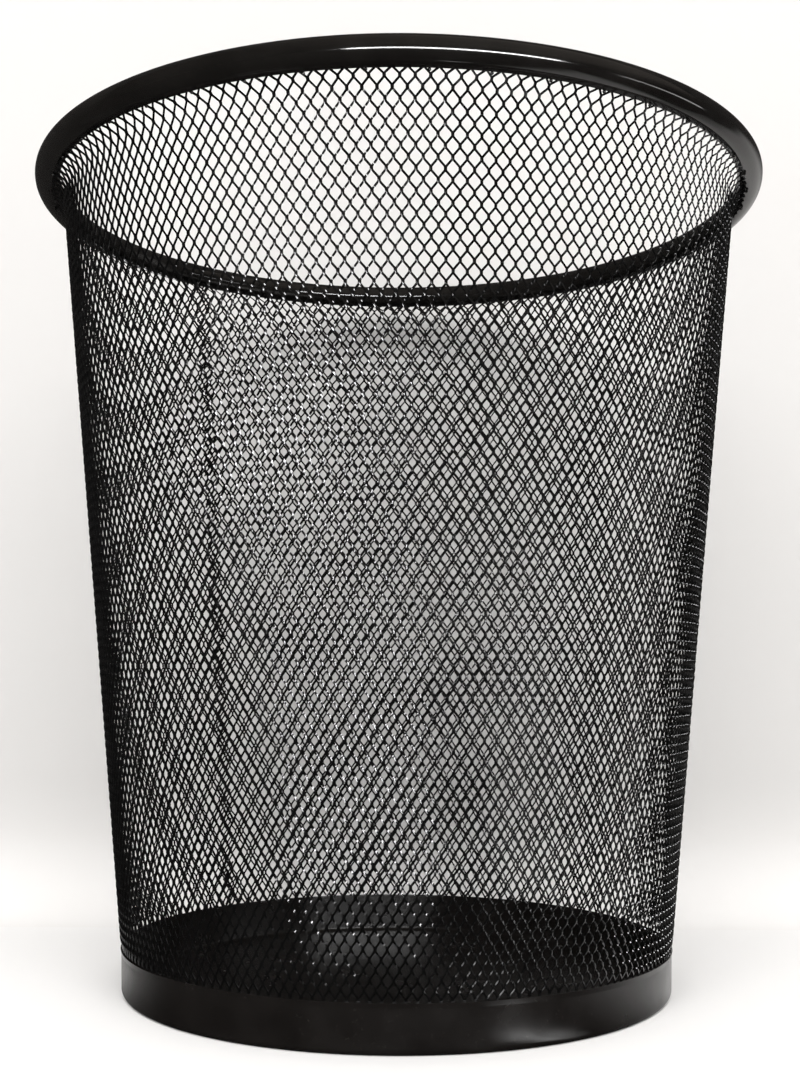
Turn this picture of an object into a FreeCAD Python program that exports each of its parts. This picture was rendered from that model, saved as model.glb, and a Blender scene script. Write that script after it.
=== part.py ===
"""Round wastebasket: a tapered expanded-steel wall, a tube hoop round its mouth, and a sheet-steel base.

Millimetres, +Z up. The origin is the centre of the circle that the basket stands on.
Every piece is a sheet or a tube of revolution about Z, apart from the welds that join them.
"""
import FreeCAD, Part
import math
import os

from FreeCAD import Vector

# Overall size
TOTAL_HEIGHT = 340.0
RIM_OUTER_RADIUS = 151.0

# Rim hoop: an open-seam tube bent into a circle
TUBE_RADIUS = 5.0
TUBE_WALL = 0.8
TUBE_SLIT = 0.6
SLIT_INSIDE = math.radians(35.0)

# Base: an outer band with a foot turned in under a floor pan with an upturned flange
BAND_OUTER_RADIUS = 117.2
BAND_HEIGHT = 18.8
BAND_LIP = 0.3
SHEET = 0.6
FOOT_CORNER = 2.5
FOOT_WIDTH = 6.0
PAN_CORNER = 2.0
FLANGE_SHORTFALL = 0.3

# Wall: expanded sheet, as thick as its tilted strands
MESH_THICKNESS = 0.6
WALL_TAPER = 0.0727
NECK_HEIGHT = 5.0
MARGIN_BOTTOM = 4.0
FLARE_ANGLE = math.radians(75.0)
FLARE_RADIUS = 9.0
EDGE_INSIDE = math.radians(25.0)
EDGE_GAP = 0.02
BEND = 3.0

# The wall's two edges meet in one upright overlap
SEAM_AZIMUTH = 134.7
SEAM_OVERLAP = 6.5
SEAM_BOTTOM_CLEARANCE = 1.0

# Welds
SEAM_WELDS = 16
SEAM_WELD_RADIUS = 0.9
SEAM_WELD_HEIGHT = 0.3
TACK_WELDS = 44
TACK_RADIUS = 0.6
TACK_GAP = 0.02
TACK_START = 4.0
SPOT_WELDS = 24
SPOT_RADIUS = 1.5
SPOT_LEVEL = 11.0
BEAD_WIDTH = 2.6
BEAD_HEIGHT = 0.2
BEAD_REACH = 3.5

# Worked out
HOOP_RADIUS = RIM_OUTER_RADIUS - TUBE_RADIUS
HOOP_LEVEL = TOTAL_HEIGHT - TUBE_RADIUS
BAND_INNER_RADIUS = BAND_OUTER_RADIUS - SHEET
FLANGE_OUTER_RADIUS = BAND_INNER_RADIUS - MESH_THICKNESS
FLANGE_TOP = BAND_HEIGHT - FLANGE_SHORTFALL
AXIS = Vector(0, 0, 1)
ORIGIN = Vector(0, 0, 0)


def at(radius, level):
    """A point of a profile, in the half-plane of +X."""
    return Vector(radius, 0, level)


def rounded_wire(corners):
    """An open wire through (radius, level, bend) corners, each bend an arc of that radius."""
    edges = []
    last = at(*corners[0][:2])
    for i in range(1, len(corners) - 1):
        here = at(*corners[i][:2])
        bend = corners[i][2]
        back = (at(*corners[i - 1][:2]) - here).normalize()
        on = (at(*corners[i + 1][:2]) - here).normalize()
        half = back.getAngle(on) / 2
        reach = bend / math.tan(half)
        start = here + back * reach
        end = here + on * reach
        to_centre = (back + on).normalize()
        middle = here + to_centre * (bend / math.sin(half) - bend)
        edges.append(Part.makeLine(last, start))
        edges.append(Part.Arc(start, middle, end).toShape())
        last = end
    edges.append(Part.makeLine(last, at(*corners[-1][:2])))
    return Part.Wire(edges)


def sheet_of_revolution(corners, thickness):
    """A bent sheet turned about Z. The corners are one face of the sheet; +thickness is to its left."""
    face = rounded_wire(corners).makeOffset2D(thickness, 2, True, True)
    return face.revolve(ORIGIN, AXIS, 360)


def around(shape, azimuth):
    """A copy of shape, turned about Z from +X to the azimuth."""
    copy = shape.copy()
    copy.rotate(ORIGIN, AXIS, azimuth)
    return copy


def ring_of(shape, count, first=0.0):
    """Copies of shape spaced evenly about Z."""
    return Part.makeCompound([around(shape, first + 360.0 * i / count) for i in range(count)])


def wall_inner_radius(level):
    """Radius of the straight wall's inner face."""
    return BAND_INNER_RADIUS + WALL_TAPER * (level - BAND_HEIGHT)


def flare_corner(end):
    """Where the wall's inner face would meet the flare's, if the bend between them were sharp."""
    run = Vector(math.sin(FLARE_ANGLE), 0, math.cos(FLARE_ANGLE))
    gap = end.x - wall_inner_radius(end.z)
    back = gap / (run.x - WALL_TAPER * run.z)
    return end - run * back


def make_mesh_wall():
    """The wall: a margin held inside the base, a short neck, the taper, and a flare up to the hoop."""
    reach = TUBE_RADIUS + EDGE_GAP
    end = at(HOOP_RADIUS - reach * math.sin(EDGE_INSIDE), HOOP_LEVEL - reach * math.cos(EDGE_INSIDE))
    corner = flare_corner(end)
    neck_top = BAND_HEIGHT + NECK_HEIGHT
    wall = sheet_of_revolution(
        [
            (FLANGE_OUTER_RADIUS, MARGIN_BOTTOM, 0),
            (FLANGE_OUTER_RADIUS, BAND_HEIGHT - BAND_LIP, BEND),
            (wall_inner_radius(neck_top), neck_top, BEND),
            (corner.x, corner.z, FLARE_RADIUS),
            (end.x, end.z, 0),
        ],
        -MESH_THICKNESS,
    )
    flare_start = corner.z - FLARE_RADIUS
    wall = wall.fuse(make_overlap(neck_top + SEAM_BOTTOM_CLEARANCE, flare_start))
    for i in range(SPOT_WELDS):
        wall = wall.cut(around(spot_weld(), 360.0 * i / SPOT_WELDS))
    return wall.removeSplitter(), flare_start


def make_overlap(bottom, top):
    """The outer of the wall's two edges, where it laps over the other along the seam."""
    inside = MESH_THICKNESS
    outside = 2 * MESH_THICKNESS
    outline = [
        at(wall_inner_radius(bottom) + inside, bottom),
        at(wall_inner_radius(bottom) + outside, bottom),
        at(wall_inner_radius(top) + outside, top),
        at(wall_inner_radius(top) + inside, top),
    ]
    face = Part.Face(Part.makePolygon(outline + outline[:1]))
    middle_radius = wall_inner_radius((bottom + top) / 2)
    spread = math.degrees(SEAM_OVERLAP / middle_radius)
    return around(face.revolve(ORIGIN, AXIS, spread), SEAM_AZIMUTH - spread / 2)


def make_seam_welds(top):
    """A row of spot welds down the overlap, each a low round button on its outer face."""
    bottom = BAND_HEIGHT + NECK_HEIGHT + SEAM_BOTTOM_CLEARANCE
    pitch = (top - bottom) / SEAM_WELDS
    buttons = []
    for i in range(SEAM_WELDS):
        level = bottom + pitch * (i + 0.5)
        face_radius = wall_inner_radius(level) + 2 * MESH_THICKNESS
        button = Part.makeCylinder(SEAM_WELD_RADIUS, 1.0, at(face_radius - 0.5, level), Vector(1, 0, 0))
        keep = Part.makeCylinder(face_radius + SEAM_WELD_HEIGHT, 4 * SEAM_WELD_RADIUS,
                                 at(0, level - 2 * SEAM_WELD_RADIUS))
        cone = Part.makeCone(
            wall_inner_radius(level - 3) + 2 * MESH_THICKNESS,
            wall_inner_radius(level + 3) + 2 * MESH_THICKNESS,
            6.0,
            at(0, level - 3),
        )
        buttons.append(around(button.common(keep).cut(cone), SEAM_AZIMUTH))
    return Part.makeCompound(buttons)


def make_rim_hoop():
    """The hoop: a tube whose open seam is hidden in the crevice above the flared edge of the wall."""
    half_slit = math.asin(TUBE_SLIT / 2 / TUBE_RADIUS)

    def on_tube(radius, past_slit):
        angle = past_slit - SLIT_INSIDE
        return at(HOOP_RADIUS + radius * math.sin(angle), HOOP_LEVEL - radius * math.cos(angle))

    inner_radius = TUBE_RADIUS - TUBE_WALL
    away = 2 * math.pi - half_slit
    outer = Part.Arc(on_tube(TUBE_RADIUS, half_slit), on_tube(TUBE_RADIUS, math.pi), on_tube(TUBE_RADIUS, away))
    inner = Part.Arc(on_tube(inner_radius, away), on_tube(inner_radius, math.pi), on_tube(inner_radius, half_slit))
    section = Part.Wire(
        [
            outer.toShape(),
            Part.makeLine(on_tube(TUBE_RADIUS, away), on_tube(inner_radius, away)),
            inner.toShape(),
            Part.makeLine(on_tube(inner_radius, half_slit), on_tube(TUBE_RADIUS, half_slit)),
        ]
    )
    return Part.Face(section).revolve(ORIGIN, AXIS, 360)


def make_rim_butt_weld():
    """The bead where the hoop's two ends meet: left proud on the tube's sides, ground flush on top."""
    centre = at(HOOP_RADIUS, HOOP_LEVEL)
    rings = [
        Part.Face(Part.Wire(Part.makeCircle(radius, centre, Vector(0, 1, 0))))
        for radius in (TUBE_RADIUS + BEAD_HEIGHT, TUBE_RADIUS)
    ]
    spread = math.degrees(BEAD_WIDTH / HOOP_RADIUS)
    bead = rings[0].cut(rings[1]).revolve(ORIGIN, AXIS, spread)
    sides = Part.makeCylinder(
        RIM_OUTER_RADIUS + TUBE_RADIUS, 2 * BEAD_REACH, at(0, HOOP_LEVEL - BEAD_REACH)
    )
    return around(bead.common(sides), SEAM_AZIMUTH - spread / 2)


def make_rim_tack_welds():
    """Round tacks that touch the underside of the tube and the wall's cut edge."""
    edge = (TUBE_RADIUS + EDGE_GAP) * math.cos(FLARE_ANGLE - EDGE_INSIDE)
    reach = TUBE_RADIUS + TACK_RADIUS
    inside = FLARE_ANGLE - math.acos((edge - TACK_RADIUS - TACK_GAP) / reach)
    centre = at(HOOP_RADIUS - reach * math.sin(inside), HOOP_LEVEL - reach * math.cos(inside))
    return ring_of(Part.makeSphere(TACK_RADIUS, centre), TACK_WELDS, TACK_START)


def make_base_band():
    """The band: a ring with a slightly turned lip at its top and a foot turned in at its bottom."""
    return sheet_of_revolution(
        [
            (BAND_OUTER_RADIUS - FOOT_WIDTH, 0, 0),
            (BAND_OUTER_RADIUS, 0, FOOT_CORNER),
            (BAND_OUTER_RADIUS, BAND_HEIGHT - 2, 1.0),
            (BAND_OUTER_RADIUS + BAND_LIP, BAND_HEIGHT, 0),
        ],
        SHEET,
    )


def make_band_butt_weld():
    """The upright bead that closes the band, ground nearly flush."""
    bottom = 2 * FOOT_CORNER
    top = BAND_HEIGHT - 3
    ring = Part.makeCylinder(BAND_OUTER_RADIUS + BEAD_HEIGHT, top - bottom, at(0, bottom))
    ring = ring.cut(Part.makeCylinder(BAND_OUTER_RADIUS, top - bottom, at(0, bottom)))
    slab = Part.makeBox(10, BEAD_WIDTH, top, Vector(BAND_OUTER_RADIUS - 5, -BEAD_WIDTH / 2, 0))
    return around(ring.common(slab), SEAM_AZIMUTH)


def make_floor_pan():
    """The floor: a disc that rests on the band's foot, with a flange that clamps the wall's margin."""
    return sheet_of_revolution(
        [
            (0, SHEET, 0),
            (FLANGE_OUTER_RADIUS, SHEET, PAN_CORNER),
            (FLANGE_OUTER_RADIUS, FLANGE_TOP, 0),
        ],
        SHEET,
    )


def spot_weld():
    """One nugget from the pan's flange to the band, through the wall's margin, at +X."""
    plug = Part.makeCylinder(SPOT_RADIUS, 5.0, at(BAND_OUTER_RADIUS - 4, SPOT_LEVEL), Vector(1, 0, 0))
    level = at(0, SPOT_LEVEL - 2 * SPOT_RADIUS)
    height = 4 * SPOT_RADIUS
    ring = Part.makeCylinder(BAND_INNER_RADIUS, height, level)
    ring = ring.cut(Part.makeCylinder(FLANGE_OUTER_RADIUS, height, level))
    return plug.common(ring)


def main():
    wall, flare_start = make_mesh_wall()
    pieces = {
        "mesh_wall": wall,
        "mesh_seam_welds": make_seam_welds(flare_start),
        "rim_hoop": make_rim_hoop(),
        "rim_hoop_weld": make_rim_butt_weld(),
        "rim_tack_welds": make_rim_tack_welds(),
        "base_band": make_base_band(),
        "base_band_weld": make_band_butt_weld(),
        "floor_pan": make_floor_pan(),
        "base_spot_welds": ring_of(spot_weld(), SPOT_WELDS),
    }
    os.makedirs("parts", exist_ok=True)
    for name, shape in pieces.items():
        shape.exportStep(f"parts/{name}.step")
        box = shape.BoundBox
        print(f"{name:16s} solids {len(shape.Solids):3d} volume {shape.Volume:10.1f} mm3 "
              f"valid {shape.isValid()} z {box.ZMin:.2f}..{box.ZMax:.2f} r {box.XMax:.2f}")


main()
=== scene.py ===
"""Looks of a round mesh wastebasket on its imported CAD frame. Metres, +Z up, origin under its centre."""
import math

import bpy
import numpy as np
from mathutils import Matrix, Vector


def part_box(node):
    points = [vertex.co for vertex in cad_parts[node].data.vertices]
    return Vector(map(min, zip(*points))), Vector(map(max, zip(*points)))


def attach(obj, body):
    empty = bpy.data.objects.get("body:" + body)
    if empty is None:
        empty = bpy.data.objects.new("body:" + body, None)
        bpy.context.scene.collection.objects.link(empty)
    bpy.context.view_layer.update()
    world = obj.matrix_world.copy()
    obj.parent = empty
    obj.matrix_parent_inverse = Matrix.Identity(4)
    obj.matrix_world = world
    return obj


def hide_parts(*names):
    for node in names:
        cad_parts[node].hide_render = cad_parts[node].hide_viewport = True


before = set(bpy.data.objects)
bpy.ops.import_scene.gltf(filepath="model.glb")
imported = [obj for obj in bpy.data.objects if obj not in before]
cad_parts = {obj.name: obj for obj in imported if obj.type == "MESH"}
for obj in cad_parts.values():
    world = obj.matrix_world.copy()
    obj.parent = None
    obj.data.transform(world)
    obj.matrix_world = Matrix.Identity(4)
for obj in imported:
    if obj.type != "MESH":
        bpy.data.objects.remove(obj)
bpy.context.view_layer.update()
MM = 0.001
TURN = 2 * math.pi
FRONT = math.radians(-90)

# Sizes read from the frame
RIM_LO, RIM_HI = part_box("rim_hoop")
PAN_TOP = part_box("floor_pan")[1].z
BAND_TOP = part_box("base_band")[1].z
TUBE_RADIUS = (RIM_HI.z - RIM_LO.z) / 2
HOOP_RADIUS = (RIM_HI.x - RIM_LO.x) / 2 - TUBE_RADIUS
HOOP_LEVEL = (RIM_HI.z + RIM_LO.z) / 2

# The hoop's tube, and how far it runs out of true; the slit's angle is in degrees from its underside
TUBE_WALL = 0.8 * MM
TUBE_SLIT = 0.6 * MM
SLIT_INSIDE = 35
HOOP_WAVER = 0.12 * MM
HOOP_SAG = 0.10 * MM

# The base's sheet metal: a band with a foot and a lip, and a pan with a flange
SHEET = 0.6 * MM
BAND_RADIUS = 117.2 * MM
BAND_LIP = 0.3 * MM
LIP_HEIGHT = 2 * MM
LIP_BEND = 1 * MM
FOOT_CORNER = 2.5 * MM
FOOT_WIDTH = 6 * MM
BAND_WAVER = 0.15 * MM
FLANGE_RADIUS = BAND_RADIUS - 2 * SHEET
PAN_CORNER = 2 * MM
PAN_CENTRE = 0.05 * MM

# The wall's sheet
WALL_TAPER = 0.0727
MESH_THICKNESS = 0.6 * MM
MARGIN_BOTTOM = 6 * MM
NECK_HEIGHT = 5 * MM
NECK_BEND = 3 * MM
FLARE_ANGLE = math.radians(75)
FLARE_RADIUS = 9 * MM
EDGE_INSIDE = math.radians(25)

# Its lattice: strands that meet in upright bonds, drawn out of one slit sheet
CELLS_ROUND = 176.25
ROW_PITCH = 7.32 * MM
ROW_DRIFT = 0.25
ROW_PHASE = 0.097
COLUMN_PHASE = 0.41
TWIST = 4.0
SECTORS = 5

# A bond and its strands: the lean and the size vary a little from one bond to the next
BOND_HEIGHT = 0.95 * MM
BOND_DOME = 0.30 * MM
CROTCH_FILL = 0.45 * MM
STRAND_WIDTH = 0.55 * MM
STRAND_DEPTH = 0.44 * MM
STRAND_TILT = math.radians(-30)
LEAN_SPREAD = math.radians(2.5)
SIZE_SPREAD = 0.03

# The share of tilt and dome left where the sheet is pressed, at the base and at the hoop
BASE_RELIEF = 0.05
BASE_RELIEF_START = -0.5 * MM
BASE_RELIEF_RUN = 5 * MM
HOOP_RELIEF = 0.4
HOOP_RELIEF_RUN = 6 * MM

# Where the two upright edges of the sheet lap, how the lap rises, and where it starts and ends.
# The lap's lead and ramp are in halves of its width.
SEAM = math.radians(134.7)
SEAM_LAP = 6.5 * MM
LAP_RADIUS = BAND_RADIUS + 10 * MM
LAP_LEAD = 2.2
LAP_RAMP = 1.1
LAP_LIFT = MESH_THICKNESS * 1.02
LAP_START = 5 * MM
LAP_START_RUN = 4 * MM
LAP_END = 12 * MM
LAP_END_RUN = 6 * MM

# Edges are sharp above these angles
LATHE_CREASE = math.radians(50)
STRAND_CREASE = math.radians(60)


# ------------------------------------------------------------------ geometry helpers

def link(name, data):
    """An object of the scene for a mesh, light or camera."""
    ob = bpy.data.objects.new(name, data)
    bpy.context.scene.collection.objects.link(ob)
    return ob


def mesh_of(name, points, quads, crease=None):
    """A smooth mesh from numpy points and four-sided faces, sharp above the crease angle."""
    mesh = bpy.data.meshes.new(name)
    mesh.vertices.add(len(points))
    mesh.vertices.foreach_set("co", np.asarray(points, np.float32).ravel())
    mesh.loops.add(quads.size)
    mesh.loops.foreach_set("vertex_index", quads.astype(np.int32).ravel())
    mesh.polygons.add(len(quads))
    mesh.polygons.foreach_set("loop_start", np.arange(len(quads), dtype=np.int32) * 4)
    mesh.update(calc_edges=True)
    mesh.polygons.foreach_set("use_smooth", np.ones(len(quads), bool))
    if crease is not None:
        mesh.set_sharp_from_angle(angle=crease)
    return mesh


def smooth_over(mesh, marked):
    """Lets the shading run smoothly over every edge that ends at a marked vertex."""
    ends = np.empty(len(mesh.edges) * 2, np.int32)
    mesh.edges.foreach_get("vertices", ends)
    sharp = np.empty(len(mesh.edges), bool)
    edges = mesh.attributes["sharp_edge"].data
    edges.foreach_get("value", sharp)
    edges.foreach_set("value", sharp & ~marked[ends.reshape(-1, 2)].any(axis=1))
    mesh.update()


def unit(vector):
    return vector / np.linalg.norm(vector)


def arc(centre, radius, first, last, steps):
    """Points of an arc in a profile's plane, its angles in degrees from +r towards +z."""
    angles = np.radians(np.linspace(first, last, steps + 1))
    return np.stack([centre[0] + radius * np.cos(angles), centre[1] + radius * np.sin(angles)], axis=-1)


def rounded_path(corners, steps=12):
    """Points along straight runs between (radius, level, bend) corners, each bend an arc."""
    points = [np.array([corners[0][:2]])]
    for before, corner, after in zip(corners, corners[1:], corners[2:]):
        here = np.array(corner[:2])
        back = unit(np.array(before[:2]) - here)
        on = unit(np.array(after[:2]) - here)
        bend = corner[2]
        half = math.acos(np.clip(back @ on, -1, 1)) / 2
        centre = here + unit(back + on) * bend / math.sin(half)
        start = here + back * bend / math.tan(half) - centre
        end = here + on * bend / math.tan(half) - centre
        first = math.degrees(math.atan2(start[1], start[0]))
        sweep = (math.degrees(math.atan2(end[1], end[0])) - first + 180) % 360 - 180
        points.append(arc(centre, bend, first, first + sweep, steps))
    points.append(np.array([corners[-1][:2]]))
    return np.concatenate(points)


def tangents(path):
    """Unit vectors along a path, at its points."""
    step = np.gradient(path, axis=0)
    return step / np.linalg.norm(step, axis=1)[:, None]


def left_of(path):
    """Unit vectors to the left of a path's points."""
    ahead = tangents(path)
    return np.stack([-ahead[:, 1], ahead[:, 0]], axis=-1)


def sheet_section(path, thickness):
    """The closed outline of a bent sheet, its thickness to the left of the path."""
    other = path + left_of(path) * thickness
    other[:, 0] = np.maximum(other[:, 0], 0)
    return np.concatenate([path, other[::-1]])


def resample(path, longest):
    """The same polyline with no step longer than longest."""
    out = [path[:1]]
    for a, b in zip(path, path[1:]):
        count = max(1, math.ceil(np.linalg.norm(b - a) / longest))
        out.append(a + (b - a) * (np.arange(1, count + 1) / count)[:, None])
    return np.concatenate(out)


def lathe(name, section, steps, wave=None):
    """A closed section turned about Z. wave(angle) gives small moves (dr, dz) of its points."""
    angles = np.arange(steps) / steps * TURN
    a, r = np.meshgrid(angles, section[:, 0], indexing="ij")
    z = np.broadcast_to(section[:, 1], r.shape)
    if wave is not None:
        dr, dz = wave(a)
        r, z = r + dr, z + dz
    points = np.stack([r * np.cos(a), r * np.sin(a), z], axis=-1).reshape(-1, 3)
    n = len(section)
    i, j = np.meshgrid(np.arange(steps), np.arange(n), indexing="ij")
    i, j = i.ravel(), j.ravel()
    i2, j2 = (i + 1) % steps, (j + 1) % n
    quads = np.stack([i * n + j, i2 * n + j, i2 * n + j2, i * n + j2], axis=-1)
    return mesh_of(name, points, quads, LATHE_CREASE)


def ripple(angle, seed, size):
    """Smooth seeded unevenness round a circle, between -size and 0."""
    rng = np.random.default_rng(seed)
    total = 0
    for waves in (2, 3, 5, 8, 13):
        height = rng.uniform(0.4, 1) / waves ** 0.5
        total = total + height * np.cos(waves * angle + rng.uniform(0, TURN))
    return size * (np.tanh(total) - 1) / 2


# ------------------------------------------------------------------ the wall

def wall_inner_radius(level):
    return BAND_RADIUS - SHEET + WALL_TAPER * (level - BAND_TOP)


def wall_path():
    """The middle of the sheet, from its margin inside the base to its edge under the hoop."""
    run = np.array([math.sin(FLARE_ANGLE), math.cos(FLARE_ANGLE)])
    inside = np.array([math.sin(EDGE_INSIDE), math.cos(EDGE_INSIDE)])
    end = np.array([HOOP_RADIUS, HOOP_LEVEL]) - TUBE_RADIUS * inside
    corner = end - run * (end[0] - wall_inner_radius(end[1])) / (run[0] - WALL_TAPER * run[1])
    neck = BAND_TOP + NECK_HEIGHT
    inner_face = rounded_path([
        (FLANGE_RADIUS, MARGIN_BOTTOM, 0),
        (FLANGE_RADIUS, BAND_TOP - BAND_LIP, NECK_BEND),
        (wall_inner_radius(neck), neck, NECK_BEND),
        (corner[0], corner[1], FLARE_RADIUS),
        (end[0], end[1], 0),
    ])
    return inner_face - left_of(inner_face) * MESH_THICKNESS / 2


class WallSurface:
    """Places lattice points (columns in cells round it, rows along its profile) on the bent sheet."""

    BEYOND = 12 * MM
    LONGEST_STEP = 0.4 * MM

    def __init__(self):
        """The profile runs on beyond the sheet's edges, so that bonds past them have a place too."""
        path = wall_path()
        ahead = path[-1] + unit(path[-1] - path[-2]) * self.BEYOND
        below = path[0] - np.array([0, self.BEYOND])
        self.path = resample(np.concatenate([[below], path, [ahead]]), self.LONGEST_STEP)
        self.tangent = tangents(self.path)
        steps = np.linalg.norm(np.diff(self.path, axis=0), axis=1)
        length = np.concatenate([[0], np.cumsum(steps)])
        self.length = length - np.interp(BAND_TOP, self.path[:, 1], length)
        self.low = self.length[0] + self.BEYOND
        self.high = self.length[-1] - self.BEYOND

    def along(self, column, row):
        """Length along the profile from the band's top: rows climb a little round the sheet."""
        return (row + ROW_PHASE - ROW_DRIFT * column / CELLS_ROUND) * ROW_PITCH

    def azimuth(self, column, row):
        """Columns wind slightly round the cone."""
        level = np.interp(self.along(column, row), self.length, self.path[:, 1])
        return (column + COLUMN_PHASE - TWIST * level) / CELLS_ROUND * TURN + FRONT

    def place(self, column, row, across, out):
        """A point that lies across (round the wall) and out (square to it) from a lattice point."""
        s = self.along(column, row)
        r = np.interp(s, self.length, self.path[:, 0])
        z = np.interp(s, self.length, self.path[:, 1])
        tr = np.interp(s, self.length, self.tangent[:, 0])
        tz = np.interp(s, self.length, self.tangent[:, 1])
        azimuth = self.azimuth(column, row)
        out = out + self.lap_lift(azimuth, s)
        angle = azimuth + across / r
        r = r + tz * out
        return np.stack([r * np.cos(angle), r * np.sin(angle), z - tr * out], axis=-1)

    def lap_lift(self, azimuth, s):
        """The sheet's end rides over its start along the seam, but not in the neck or the flare."""
        half = SEAM_LAP / 2 / (BAND_RADIUS + WALL_TAPER * s)
        t = np.clip((azimuth - (SEAM - LAP_LEAD * half)) / (LAP_RAMP * half), 0, 1)
        above_neck = np.clip((s - LAP_START) / LAP_START_RUN, 0, 1)
        below_flare = np.clip((self.high - LAP_END - s) / LAP_END_RUN, 0, 1)
        return LAP_LIFT * t * t * (3 - 2 * t) * (above_neck * below_flare)


# Corners of a bond's section, as (across, out) in halves; a strand takes up its left or right four
BOND_CORNERS = ((-1, 1), (0, 1), (1, 1), (1, -1), (0, -1), (-1, -1))
LEFT_HALF = (0, 1, 4, 5)
RIGHT_HALF = (1, 2, 3, 4)

# A bond's points are three rings of its section, lowest first. The middle ring's middle corners are domed.
RING = len(BOND_CORNERS)
BOTTOM, MIDDLE, TOP = range(3)
BOND = 3 * RING
DOMES = (MIDDLE * RING + 1, MIDDLE * RING + 4)


def bond_points(surface, m, n, rng):
    """The rings of each bond at half-cell (m, n): its lower end, domed middle and upper end."""
    lean = rng.normal(0, LEAN_SPREAD, len(m))
    size = rng.normal(1, SIZE_SPREAD, len(m))
    s = surface.along(m / 2, n / 2)
    relief = np.clip((s - BASE_RELIEF_START) / BASE_RELIEF_RUN, BASE_RELIEF, 1)
    relief = relief * np.clip((surface.high - s) / HOOP_RELIEF_RUN, HOOP_RELIEF, 1)
    tilt = STRAND_TILT * relief + lean
    points = np.empty((len(m), 3, RING, 3))
    for ring in (BOTTOM, MIDDLE, TOP):
        for i, (a, b) in enumerate(BOND_CORNERS):
            reach = BOND_HEIGHT / 2 + (CROTCH_FILL if a == 0 else 0)
            dome = BOND_DOME * relief if a == 0 and ring == MIDDLE else 0
            row = n / 2 + (ring - MIDDLE) * reach / ROW_PITCH
            w, d = a * STRAND_WIDTH * size, b * (STRAND_DEPTH / 2 + dome)
            across = w * np.cos(tilt) - d * np.sin(tilt)
            out = w * np.sin(tilt) + d * np.cos(tilt)
            points[:, ring, i] = surface.place(m / 2, row, across, out)
    return points


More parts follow.
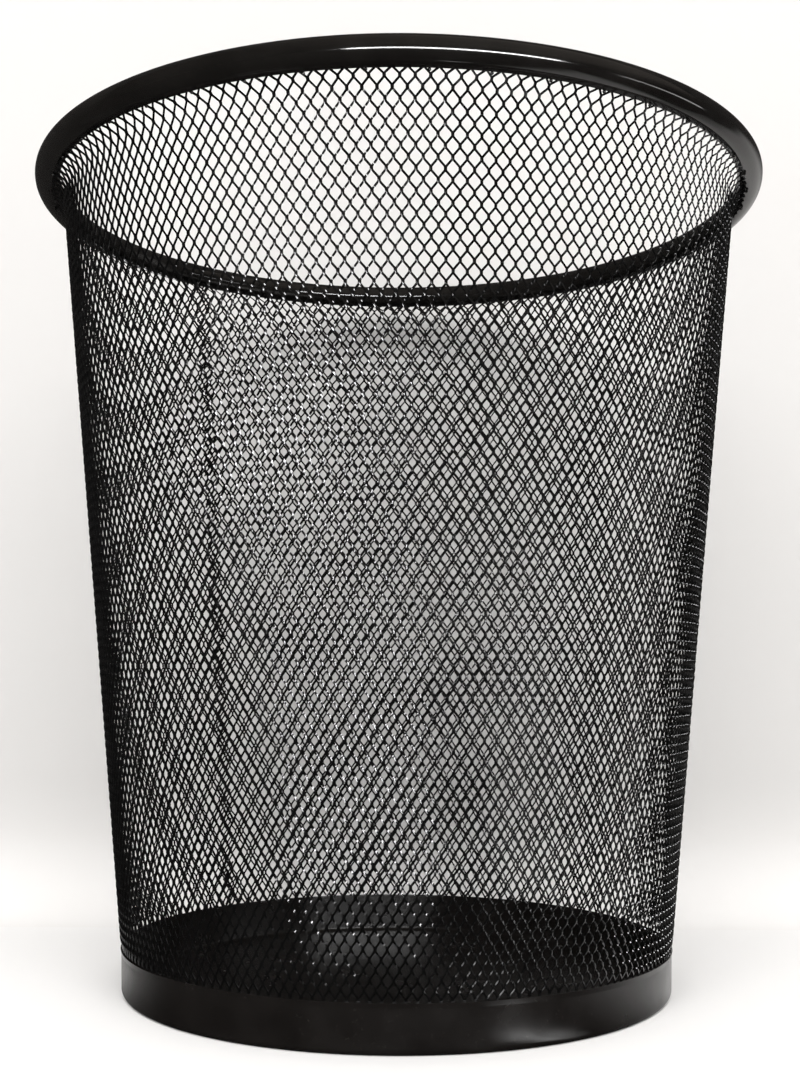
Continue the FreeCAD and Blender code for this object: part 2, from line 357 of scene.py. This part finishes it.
class Lattice:
    """Expanded metal between two azimuths, in half-cells (m, n).

    There is a bond where m + n is odd, and it sends up two slanting strands. A strand that would reach
    a bond beyond the sheet's edges is cut off at the edge.
    """

    SEED = 7
    # half-cells past the sector, and how far its columns wind, in cells
    SPARE_COLUMNS = 3
    WIND = 2
    ROWS_BELOW = 2
    ROWS_ABOVE = 3

    def __init__(self, surface, first, last):
        self.surface, self.first, self.last = surface, first, last
        cells = CELLS_ROUND / TURN
        self.m0 = math.floor(2 * ((first - FRONT) * cells - COLUMN_PHASE)) - self.SPARE_COLUMNS
        m1 = math.ceil(2 * ((last - FRONT) * cells + self.WIND)) + self.SPARE_COLUMNS
        self.n0 = math.floor(2 * (surface.low / ROW_PITCH - ROW_PHASE)) - self.ROWS_BELOW
        n1 = math.ceil(2 * (surface.high / ROW_PITCH)) + self.ROWS_ABOVE
        mm, nn = np.meshgrid(np.arange(self.m0, m1 + 1), np.arange(self.n0, n1 + 1), indexing="ij")
        odd = (mm + nn) % 2 == 1
        self.m, self.n = mm[odd], nn[odd]
        self.index = -np.ones(mm.shape, int)
        self.index[odd] = np.arange(len(self.m))

        self.points = bond_points(surface, self.m, self.n, np.random.default_rng(self.SEED))
        self.s = surface.along(self.m / 2, self.n / 2)
        self.azimuth = surface.azimuth(self.m / 2, self.n / 2)
        whole = (self.s - BOND_HEIGHT / 2 > surface.low) & (self.s + BOND_HEIGHT / 2 < surface.high)
        self.inside = whole & (self.azimuth >= first) & (self.azimuth < last)

        self.base = np.arange(len(self.m)) * BOND
        self.added = len(self.m) * BOND
        self.quads, self.extra = [], []

    def add_quads(self, a, b, c, d):
        self.quads.append(np.stack([a, b, c, d], axis=-1))

    def add_sections(self, sections):
        """Adds the four corners of each strand section. Returns their indices, a row for each."""
        ids = self.added + np.arange(len(sections) * 4).reshape(-1, 4)
        self.extra.append(sections.reshape(-1, 3))
        self.added += ids.size
        return ids

    def add_bonds(self):
        """The sides of every bond inside the sheet."""
        lower = self.base[self.inside]
        middle, upper = lower + MIDDLE * RING, lower + TOP * RING
        for i in range(RING):
            j = (i + 1) % RING
            self.add_quads(lower + j, middle + j, middle + i, lower + i)
            self.add_quads(middle + j, upper + j, upper + i, middle + i)

    def add_strands(self, step, start_half, end_half):
        """The strands that slant up by step half-cells, from a bond's half to the next one's other half."""
        col, row = self.m - self.m0 + step, self.n - self.n0 + 1
        ok = (col >= 0) & (col < self.index.shape[0]) & (row < self.index.shape[1])
        low = np.where(ok)[0]
        high = self.index[col[ok], row[ok]]
        both = self.inside[low] & self.inside[high]
        self.add_whole_strands(low[both], high[both], start_half, end_half)
        self.add_cut_strands(low, high, TOP, start_half, end_half)
        self.add_cut_strands(high, low, BOTTOM, end_half, start_half)

    def add_whole_strands(self, low, high, start_half, end_half):
        """Strands between two bonds, each with a section halfway."""
        start, end = self.base[low] + TOP * RING, self.base[high]
        halfway = (self.points[low, TOP][:, start_half] + self.points[high, BOTTOM][:, end_half]) / 2
        middle = self.add_sections(halfway)
        for p in range(4):
            q = (p + 1) % 4
            self.add_quads(start + start_half[q], middle[:, q], middle[:, p], start + start_half[p])
            self.add_quads(middle[:, q], end + end_half[q], end + end_half[p], middle[:, p])

    def add_cut_strands(self, here, there, ring, half, far_half):
        """Strands that leave a bond inside the sheet for one beyond it, with a flat cut end."""
        cut = self.inside[here] & ~self.inside[there]
        here, there = here[cut], there[cut]
        start = self.points[here, ring][:, half]
        target = self.points[there, TOP - ring][:, far_half]
        keep = self.kept_fraction(here, there)[:, None, None]
        tip = self.add_sections(start + (target - start) * keep)
        root = self.base[here] + ring * RING
        order = (0, 1, 2, 3) if ring == TOP else (3, 2, 1, 0)
        for p, q in zip(order, order[1:] + order[:1]):
            self.add_quads(root + half[q], tip[:, q], tip[:, p], root + half[p])
        self.add_quads(*[tip[:, k] for k in order])

    def kept_fraction(self, here, there, least=0.05, tiny=1e-9):
        """How much of each strand from here to there lies inside the sheet."""
        keep = np.ones(len(here))
        for place, low, high in (
            (self.s, self.surface.low, self.surface.high),
            (self.azimuth, self.first, self.last),
        ):
            run = place[there] - place[here]
            run = np.where(np.abs(run) < tiny, tiny, run)
            room = np.where(run > 0, high - place[here], low - place[here])
            keep = np.minimum(keep, np.clip(room / run, least, 1))
        return keep

    def mesh(self, name):
        """The lattice's mesh, without the points of bonds beyond the sheet."""
        self.add_bonds()
        self.add_strands(-1, LEFT_HALF, RIGHT_HALF)
        self.add_strands(1, RIGHT_HALF, LEFT_HALF)
        points = np.concatenate([self.points.reshape(-1, 3)] + self.extra)
        used, quads = np.unique(np.concatenate(self.quads), return_inverse=True)
        mesh = mesh_of(name, points[used], quads.reshape(-1, 4), STRAND_CREASE)
        smooth_over(mesh, (used < len(self.m) * BOND) & np.isin(used % BOND, DOMES))
        return mesh


# ------------------------------------------------------------------ materials

def node(nt, kind, inputs=None, **settings):
    """A shader node, its inputs linked from sockets or set to values."""
    made = nt.nodes.new(kind)
    for key, value in settings.items():
        setattr(made, key, value)
    for key, value in (inputs or {}).items():
        if isinstance(value, bpy.types.NodeSocket):
            nt.links.new(value, made.inputs[key])
        else:
            made.inputs[key].default_value = value
    return made


def maths(nt, operation, a, b):
    return node(nt, "ShaderNodeMath", {0: a, 1: b}, operation=operation).outputs[0]


def product(nt, first, *others):
    """Everything multiplied together."""
    for other in others:
        first = maths(nt, "MULTIPLY", first, other)
    return first


def ramp(nt, value, start, end, low=0.0, high=1.0, kind="LINEAR"):
    """low at start to high at end, held outside."""
    return node(nt, "ShaderNodeMapRange", {
        "Value": value, "From Min": start, "From Max": end, "To Min": low, "To Max": high,
    }, interpolation_type=kind).outputs["Result"]


def fade(nt, value, start, end):
    """0 at start to 1 at end, eased at both and held outside."""
    return ramp(nt, value, start, end, kind="SMOOTHSTEP")


def mix(nt, factor, first, second):
    """A colour from first to second: a Mix node's inputs 6 and 7, and its output 2."""
    inputs = {"Factor": factor, 6: first, 7: second}
    return node(nt, "ShaderNodeMix", inputs, data_type="RGBA").outputs[2]


def opaque(colour, strength=1.0):
    """The colour as four numbers, the way colour sockets take it."""
    return (*[c * strength for c in colour], 1)


PATCHES_PER_METRE = 45.0
SPECKS_PER_METRE = 900.0


def enamel(name, colour, dust, roughness, specular, peel_size, peel_height):
    """Black baked enamel: orange peel, patches of duller gloss, and pale dust in specks."""
    mat = bpy.data.materials.new(name)
    mat.use_nodes = True
    nt = mat.node_tree
    place = node(nt, "ShaderNodeTexCoord").outputs["Object"]

    def noise(scale, detail, rough=0.5):
        inputs = {"Vector": place, "Scale": scale, "Detail": detail, "Roughness": rough}
        return node(nt, "ShaderNodeTexNoise", inputs).outputs["Fac"]

    patches = noise(PATCHES_PER_METRE, 4.0, 0.6)
    peel = noise(1 / peel_size, 2.0)
    specks = noise(SPECKS_PER_METRE, 3.0, 0.7)
    mottled = mix(nt, ramp(nt, patches, 0.3, 0.75), opaque(colour, 0.75), opaque(colour, 1.5))
    dusted = mix(nt, ramp(nt, specks, 0.66, 0.78), mottled, opaque(dust))
    gloss = ramp(nt, patches, 0.3, 0.7, roughness * 0.75, roughness * 1.35)
    bump = node(nt, "ShaderNodeBump", {"Height": peel, "Strength": 1.0, "Distance": peel_height})
    shader = nt.nodes["Principled BSDF"]
    nt.links.new(dusted, shader.inputs["Base Color"])
    nt.links.new(gloss, shader.inputs["Roughness"])
    nt.links.new(bump.outputs["Normal"], shader.inputs["Normal"])
    shader.inputs["Specular IOR Level"].default_value = specular
    return mat


MESH_ENAMEL = enamel("mesh_enamel", colour=(0.0025, 0.0025, 0.0025), dust=(0.03, 0.028, 0.025),
                     roughness=0.12, specular=0.35, peel_size=0.9 * MM, peel_height=0.010 * MM)
RIM_ENAMEL = enamel("rim_enamel", colour=(0.006, 0.0055, 0.005), dust=(0.02, 0.018, 0.016),
                    roughness=0.10, specular=0.45, peel_size=2.2 * MM, peel_height=0.006 * MM)
BASE_ENAMEL = enamel("base_enamel", colour=(0.007, 0.006, 0.0055), dust=(0.04, 0.036, 0.03),
                     roughness=0.22, specular=0.35, peel_size=2.6 * MM, peel_height=0.010 * MM)


# ------------------------------------------------------------------ pieces

def finish_piece(mesh, material, slot, *nodes):
    """Puts a mesh in the scene as a piece of the basket in place of CAD nodes."""
    mesh.materials.append(material)
    ob = link(mesh.name, mesh)
    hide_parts(*nodes)
    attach(ob, "root")


def build_wall():
    """The lattice in sectors, the last of which laps over the first at the seam."""
    surface = WallSurface()
    lap = SEAM_LAP / 2 / LAP_RADIUS
    start, end = SEAM - TURN - lap, SEAM + lap
    for i in range(SECTORS):
        first = start + (end - start) * i / SECTORS
        last = start + (end - start) * (i + 1) / SECTORS
        mesh = Lattice(surface, first, last).mesh(f"wall_strands_{i}")
        finish_piece(mesh, MESH_ENAMEL, "mesh_paint", "mesh_wall")


def build_hoop():
    """The rim's tube, its open seam in the crevice above the wall's edge, slightly out of true."""
    slit = math.degrees(math.asin(TUBE_SLIT / 2 / TUBE_RADIUS))
    centre = (HOOP_RADIUS, HOOP_LEVEL)
    first, last = -90 - SLIT_INSIDE + slit, 270 - SLIT_INSIDE - slit
    section = np.concatenate([
        arc(centre, TUBE_RADIUS, first, last, steps=56),
        arc(centre, TUBE_RADIUS - TUBE_WALL, last, first, steps=24),
    ])
    tube = lathe("rim_tube", section, steps=960,
                 wave=lambda a: (ripple(a, seed=3, size=HOOP_WAVER), ripple(a, seed=4, size=HOOP_SAG)))
    finish_piece(tube, RIM_ENAMEL, "rim_paint", "rim_hoop")


def build_base():
    """The band with its lip and foot, and the pan whose flange holds the wall."""
    band = resample(rounded_path([
        (BAND_RADIUS - FOOT_WIDTH, 0, 0),
        (BAND_RADIUS, 0, FOOT_CORNER),
        (BAND_RADIUS, BAND_TOP - LIP_HEIGHT, LIP_BEND),
        (BAND_RADIUS + BAND_LIP, BAND_TOP, 0),
    ]), longest=1.5 * MM)
    ring = lathe("base_ring", sheet_section(band, SHEET), steps=960,
                 wave=lambda a: (ripple(a, seed=11, size=BAND_WAVER), 0))
    finish_piece(ring, BASE_ENAMEL, "base_paint", "base_band")

    pan = resample(rounded_path([
        (0, SHEET, 0),
        (FLANGE_RADIUS, SHEET, PAN_CORNER),
        (FLANGE_RADIUS, PAN_TOP, 0),
    ]), longest=6 * MM)
    pan[0, 0] = PAN_CENTRE
    section = sheet_section(pan, SHEET)
    section[-1, 0] = PAN_CENTRE
    finish_piece(lathe("base_pan", section, steps=480), BASE_ENAMEL, "base_paint", "floor_pan")


def paint_cad_nodes():
    """The welds stay the CAD's own, in the enamel of what they join."""
    for name, material in (
        ("rim_hoop_weld", RIM_ENAMEL),
        ("rim_tack_welds", RIM_ENAMEL),
        ("base_band_weld", BASE_ENAMEL),
        ("base_spot_welds", BASE_ENAMEL),
        ("mesh_seam_welds", MESH_ENAMEL),
    ):
        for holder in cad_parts[name].material_slots:
            holder.material = material


# ------------------------------------------------------------------ camera

CAMERA_PLACE = Vector((0, -0.5926, 0.1345))
CAMERA_PITCH = -0.02206
CAMERA_YAW = -0.00859
CAMERA_ROLL = 0.00244
LENS = 45.23
SENSOR_WIDTH = 36
SHIFT = (0.0139, 0.1435)


def place_camera():
    """A nearly level view from the front, its frame shifted up to hold the whole basket."""
    data = bpy.data.cameras.new("camera")
    data.lens = LENS
    data.sensor_width = SENSOR_WIDTH
    data.shift_x, data.shift_y = SHIFT
    camera = link("camera", data)
    ahead = Vector((math.sin(CAMERA_YAW), math.cos(CAMERA_YAW), math.tan(CAMERA_PITCH))).normalized()
    side = ahead.cross(Vector((0, 0, 1))).normalized()
    up = side.cross(ahead)
    turn = Matrix.Rotation(-CAMERA_ROLL, 3, ahead)
    axes = Matrix((turn @ side, turn @ up, -ahead)).transposed().to_4x4()
    camera.matrix_world = Matrix.Translation(CAMERA_PLACE) @ axes
    bpy.context.scene.camera = camera


# ------------------------------------------------------------------ studio

# The paper: half the floor's width, the backdrop's place behind the rim, and the sweep between the two
PAPER_REACH = 3.0
BACKDROP_GAP = 17 * MM
BACKDROP_TOP = 1.6
SWEEP_RADIUS = 45 * MM
PAPER_DARKENING = 0.26
DARKENING_FROM, DARKENING_TO = -0.01, 0.08
FLAG_BLACK = (0.02, 0.019, 0.018)


def area_light(name, place, aim, size, strength, colour=(1, 1, 1), glossy=True, diffuse=True):
    """A rectangular light hidden from the camera; strength is its brightness, whatever its size."""
    data = bpy.data.lights.new(name, "AREA")
    data.shape = "RECTANGLE"
    data.size, data.size_y = size
    data.energy = strength * size[0] * size[1] * math.pi
    data.color = colour
    ob = link(name, data)
    facing = (Vector(aim) - Vector(place)).to_track_quat("-Z", "Y").to_matrix()
    ob.matrix_world = Matrix.Translation(place) @ facing.to_4x4()
    ob.visible_camera = False
    ob.visible_glossy = glossy
    ob.visible_diffuse = diffuse


def paper(name, colour, dimness, one_sided, glow=None):
    """Matt pale paper that darkens a little and evenly up its sweep.

    Reflections see it dimmed, as if by black flags, and with a painted glow where one is given. One-sided
    paper is clear from behind.
    """
    mat = bpy.data.materials.new(name)
    mat.use_nodes = True
    nt = mat.node_tree
    nt.nodes.remove(nt.nodes["Principled BSDF"])
    geometry = node(nt, "ShaderNodeNewGeometry")
    position = geometry.outputs["Position"]
    place = node(nt, "ShaderNodeSeparateXYZ", {"Vector": position}).outputs
    glossy = node(nt, "ShaderNodeLightPath").outputs["Is Glossy Ray"]

    darkening = product(nt, fade(nt, place["Z"], DARKENING_FROM, DARKENING_TO), PAPER_DARKENING)
    tone = mix(nt, darkening, opaque(colour), (0, 0, 0, 1))
    pale = node(nt, "ShaderNodeBsdfDiffuse", {"Color": tone}).outputs["BSDF"]
    black = node(nt, "ShaderNodeBsdfDiffuse", {"Color": opaque(FLAG_BLACK)}).outputs["BSDF"]
    flag = product(nt, dimness(nt, place), glossy)
    shade = node(nt, "ShaderNodeMixShader", {0: flag, 1: pale, 2: black}).outputs[0]
    if glow is not None:
        light = node(nt, "ShaderNodeEmission", {"Strength": product(nt, glow(nt, position), glossy)})
        shade = node(nt, "ShaderNodeAddShader", {0: shade, 1: light.outputs[0]}).outputs[0]
    if one_sided:
        clear = node(nt, "ShaderNodeBsdfTransparent").outputs["BSDF"]
        behind = geometry.outputs["Backfacing"]
        shade = node(nt, "ShaderNodeMixShader", {0: behind, 1: shade, 2: clear}).outputs[0]
    nt.links.new(shade, nt.nodes["Material Output"].inputs["Surface"])
    return mat


def floor_dimness(nt, place):
    """Painted shade that only reflections see on the floor: dimmed in front of the basket, less so to the
    right, and far to either side.
    """
    right = product(nt, maths(nt, "MAXIMUM", maths(nt, "SUBTRACT", place["X"], 0.06), 0.0), 0.9)
    front = fade(nt, maths(nt, "ADD", place["Y"], right), 0.05, -0.08)
    left_side = fade(nt, place["X"], -0.13, -0.19)
    right_side = fade(nt, place["X"], 0.28, 0.38)
    return maths(nt, "MAXIMUM", front, maths(nt, "MAXIMUM", left_side, right_side))


def floor_glow(nt, position):
    """A soft streaky glow painted on the floor by the basket's right front, seen only in reflections: it
    paints the highlight on the band.
    """
    spot = node(nt, "ShaderNodeMapping", {
        "Vector": position,
        "Location": (0.0635, -0.1160, 0),
        "Rotation": (0, 0, math.radians(-40)),
        "Scale": (0.013, 0.030, 1),
    }, vector_type="TEXTURE").outputs[0]
    reach = node(nt, "ShaderNodeVectorMath", {0: spot}, operation="LENGTH").outputs["Value"]
    streaks = node(nt, "ShaderNodeTexNoise", {"Vector": spot, "Scale": 1.6, "Detail": 3.0})
    strength = 7.0
    return product(nt, fade(nt, reach, 1.0, 0.1), fade(nt, streaks.outputs["Fac"], 0.2, 0.7), strength)


def backdrop_dimness(nt, place):
    """Painted shade that only reflections see on the backdrop: dimmed, but for a painted brighter patch on
    the right at the basket's height that shows as a sheen on the enamel's right side.
    """
    dimmest, patch = 0.985, 0.8
    height = product(nt, fade(nt, place["Z"], 0.44, 0.32), fade(nt, place["Z"], -0.08, 0.16))
    right = product(nt, fade(nt, place["X"], 0.05, 0.20), fade(nt, place["X"], 0.70, 0.50))
    return maths(nt, "SUBTRACT", dimmest, product(nt, height, right, patch))


def build_paper():
    """A pale floor that sweeps up close behind the basket."""
    back = RIM_HI.y + BACKDROP_GAP
    end = back - SWEEP_RADIUS
    corners = [(-PAPER_REACH, -PAPER_REACH, 0), (PAPER_REACH, -PAPER_REACH, 0),
               (PAPER_REACH, end, 0), (-PAPER_REACH, end, 0)]
    floor = mesh_of("floor", np.array(corners), np.array([[0, 1, 2, 3]]))
    floor.materials.append(paper("floor_paper", (0.86, 0.855, 0.85), floor_dimness,
                                 one_sided=False, glow=floor_glow))
    link("floor", floor)

    sweep = arc((end, SWEEP_RADIUS), SWEEP_RADIUS, -90, 0, steps=16)
    curve = np.concatenate([sweep, [[back, BACKDROP_TOP]]])
    points = np.array([(x, y, z) for x in (-PAPER_REACH, PAPER_REACH) for y, z in curve])
    i = np.arange(len(curve) - 1)
    quads = np.stack([i, i + len(curve), i + 1 + len(curve), i + 1], axis=-1)
    backdrop = mesh_of("backdrop", points, quads)
    backdrop.materials.append(paper("backdrop_paper", (0.84, 0.83, 0.82), backdrop_dimness,
                                    one_sided=True))
    link("backdrop", backdrop)


def build_lights():
    """A soft key above, and a strip and a window that only show as highlights in the enamel."""
    area_light("key", place=(0.0, -1.25, 1.25), aim=(0, 0.05, 0.2), size=(1.8, 1.0), strength=5.6,
               colour=(1, 0.985, 0.97), glossy=False)
    area_light("strip", place=(0.21, -0.75, 0.272), aim=(0.1, 0, 0.2), size=(0.80, 0.07), strength=60,
               diffuse=False)
    area_light("window", place=(0.88, -0.22, 0.15), aim=(0, 0, 0.15), size=(0.5, 0.05), strength=7,
               diffuse=False)


def build_world():
    """An even pale surround; reflections see a dim room instead, lighter above and to the right."""
    world = bpy.data.worlds.new("studio")
    bpy.context.scene.world = world
    world.use_nodes = True
    nt = world.node_tree
    way = node(nt, "ShaderNodeTexCoord").outputs["Generated"]
    split = node(nt, "ShaderNodeSeparateXYZ", {"Vector": way}).outputs
    path = node(nt, "ShaderNodeLightPath").outputs
    lit = product(nt, fade(nt, split["Z"], 0.1, 0.4), fade(nt, split["X"], -0.6, 0.2))
    room = mix(nt, lit, (0.02, 0.018, 0.016, 1), (0.26, 0.235, 0.21, 1))
    surround = mix(nt, path["Is Camera Ray"], (0.72, 0.715, 0.71, 1), (0.80, 0.80, 0.80, 1))
    seen = mix(nt, path["Is Glossy Ray"], surround, room)
    nt.links.new(seen, nt.nodes["Background"].inputs["Color"])


bpy.context.scene.view_settings.view_transform = "Standard"
build_wall()
build_hoop()
build_base()
paint_cad_nodes()
place_camera()
build_paper()
build_lights()
build_world()
